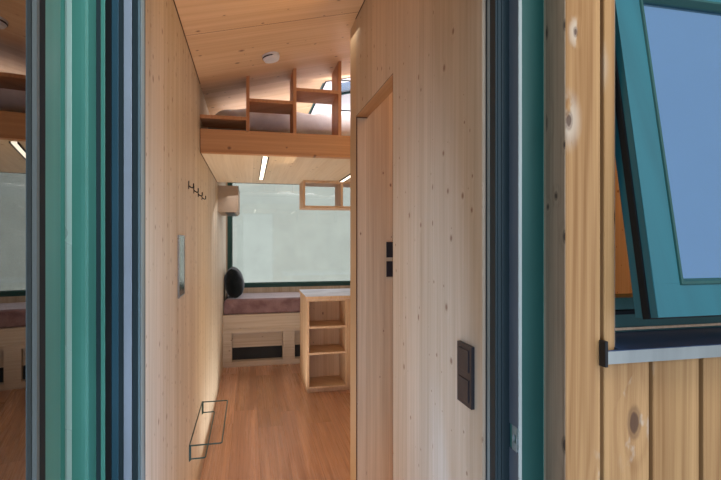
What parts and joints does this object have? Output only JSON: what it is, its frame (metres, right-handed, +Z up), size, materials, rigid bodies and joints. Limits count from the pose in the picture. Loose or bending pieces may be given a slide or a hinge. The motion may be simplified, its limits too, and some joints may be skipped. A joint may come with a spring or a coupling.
{
  "type": "tiny house on wheels",
  "caption": "Single-room timber tiny house on a tandem-axle trailer, with loft, bathroom, kitchen counter, day bed and a glazed entrance door on hinges.",
  "frame": {"origin": "on the ground, under the middle of the whole with its open door and its drawbar", "axes": "+Y from the entrance wall to the drawbar, +X to the right seen from the entrance, +Z up"},
  "size_m": [2.55, 7.9448, 3.8322],
  "materials": {
    "galvanised_steel": "galvanised, dull",
    "tyre_rubber": "matt",
    "oak_floor": "satin planks",
    "spruce_panel": "oiled, matt",
    "larch_cladding": "bare, lightly weathered",
    "roof_metal": "matt coated",
    "green_paint": "satin coated",
    "clear_glass": "clear",
    "satin_steel": "satin",
    "sill_metal": "satin coated",
    "black_metal": "matt coated",
    "white_fabric": "woven",
    "mauve_fabric": "velvet-like",
    "dark_fabric": "velvet-like",
    "light_cover": "opal",
    "white_laminate": "satin",
    "beige_plastic": "matt",
    "white_plastic": "matt",
    "mirror_glass": "polished",
    "dark_plastic": "matt"
  },
  "bodies": {
    "root": {"chassis_frame": "galvanised_steel", "drawbar": "galvanised_steel", "axles": "galvanised_steel", "tyres": "tyre_rubber", "wheel_rims": "galvanised_steel", "corner_legs": "galvanised_steel", "jockey_wheel": "galvanised_steel", "floor_deck": "oak_floor", "left_wall": "spruce_panel", "right_wall": "spruce_panel", "front_wall_right": "spruce_panel", "front_wall_head": "spruce_panel", "rear_wall": "spruce_panel", "side_cladding": "larch_cladding", "front_cladding": "larch_cladding", "rear_cladding": "larch_cladding", "roof_deck": "spruce_panel", "roof_sheet": "roof_metal", "roof_trim": "roof_metal", "corner_lining": "green_paint", "door_sill": "sill_metal", "door_frame": "green_paint", "door_hinges": "satin_steel", "strike_plate": "satin_steel", "awning_frame": "green_paint", "awning_sash": "green_paint", "awning_glass": "clear_glass", "window_stays": "satin_steel", "window_sill": "sill_metal", "panorama_frame": "green_paint", "panorama_glass": "clear_glass", "skylight_frame": "green_paint", "skylight_glass": "clear_glass", "bath_partition": "spruce_panel", "bath_door_head": "spruce_panel", "bath_cross_wall": "spruce_panel", "loft_deck": "spruce_panel", "loft_beam": "spruce_panel", "guard_shelf": "spruce_panel", "guard_rods": "black_metal", "loft_mattress": "white_fabric", "light_strips": "light_cover", "hanging_shelf": "spruce_panel", "kitchen_cabinet": "spruce_panel", "worktop": "white_laminate", "drawer_fronts": "spruce_panel", "day_bed_base": "spruce_panel", "day_bed_mattress": "mauve_fabric", "day_bed_pillow": "dark_fabric", "wall_unit": "beige_plastic", "smoke_detector": "white_plastic", "coat_hooks": "black_metal", "wall_mirror": "mirror_glass", "wire_rack": "green_paint", "wall_switches": "dark_plastic"},
    "door": {"door_leaf": "green_paint", "door_glass": "clear_glass", "door_handles": "satin_steel"}
  },
  "joints": [
    {"name": "door_hinge", "type": "hinge", "parent": "root", "child": "door", "pos_m": [-1.218, -2.96357, 1.7], "axis": [0, 0, 1], "range_deg": [-12.6, 82.4]}
  ]
}
